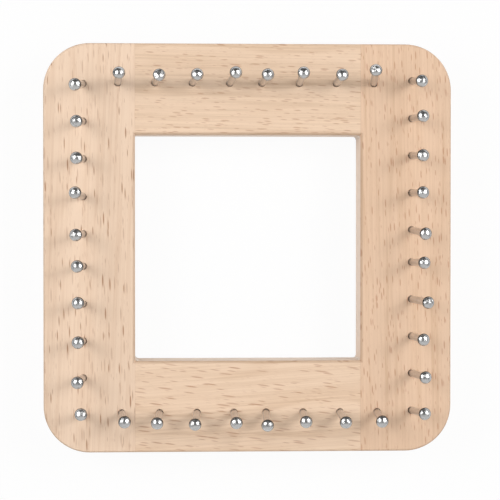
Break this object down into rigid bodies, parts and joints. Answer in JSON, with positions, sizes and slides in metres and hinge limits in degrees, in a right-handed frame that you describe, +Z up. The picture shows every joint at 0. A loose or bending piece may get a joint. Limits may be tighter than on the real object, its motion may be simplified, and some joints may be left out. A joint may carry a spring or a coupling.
{
  "type": "knitting board",
  "caption": "Flat square wooden frame with rounded corners and a square window, ringed by slanted round-headed steel pegs that hold yarn loops for knitting.",
  "frame": {"origin": "middle of the underside, level with the surface that the board lies on", "axes": "+X to the right stile, +Y to the top rail, +Z up out of the face that carries the pegs"},
  "size_m": [0.15, 0.15, 0.034],
  "materials": {
    "beech_pale": "sanded, thin clear oil",
    "beech_pink": "sanded, thin clear oil",
    "beech_rail": "sanded, thin clear oil",
    "dowel_beech": "turned, glued",
    "plated_steel": "polished plating"
  },
  "bodies": {
    "root": {"bottom_rail": "beech_rail", "dowel_bottom_left_inner": "dowel_beech", "dowel_bottom_left_outer": "dowel_beech", "dowel_bottom_right_inner": "dowel_beech", "dowel_bottom_right_outer": "dowel_beech", "dowel_top_left_inner": "dowel_beech", "dowel_top_left_outer": "dowel_beech", "dowel_top_right_inner": "dowel_beech", "dowel_top_right_outer": "dowel_beech", "left_stile": "beech_pale", "peg_bottom_01": "plated_steel", "peg_bottom_02": "plated_steel", "peg_bottom_03": "plated_steel", "peg_bottom_04": "plated_steel", "peg_bottom_05": "plated_steel", "peg_bottom_06": "plated_steel", "peg_bottom_07": "plated_steel", "peg_bottom_08": "plated_steel", "peg_left_01": "plated_steel", "peg_left_02": "plated_steel", "peg_left_03": "plated_steel", "peg_left_04": "plated_steel", "peg_left_05": "plated_steel", "peg_left_06": "plated_steel", "peg_left_07": "plated_steel", "peg_left_08": "plated_steel", "peg_left_09": "plated_steel", "peg_left_10": "plated_steel", "peg_right_01": "plated_steel", "peg_right_02": "plated_steel", "peg_right_03": "plated_steel", "peg_right_04": "plated_steel", "peg_right_05": "plated_steel", "peg_right_06": "plated_steel", "peg_right_07": "plated_steel", "peg_right_08": "plated_steel", "peg_right_09": "plated_steel", "peg_right_10": "plated_steel", "peg_top_01": "plated_steel", "peg_top_02": "plated_steel", "peg_top_03": "plated_steel", "peg_top_04": "plated_steel", "peg_top_05": "plated_steel", "peg_top_06": "plated_steel", "peg_top_07": "plated_steel", "peg_top_08": "plated_steel", "right_stile": "beech_pink", "top_rail": "beech_rail"}
  },
  "joints": []
}
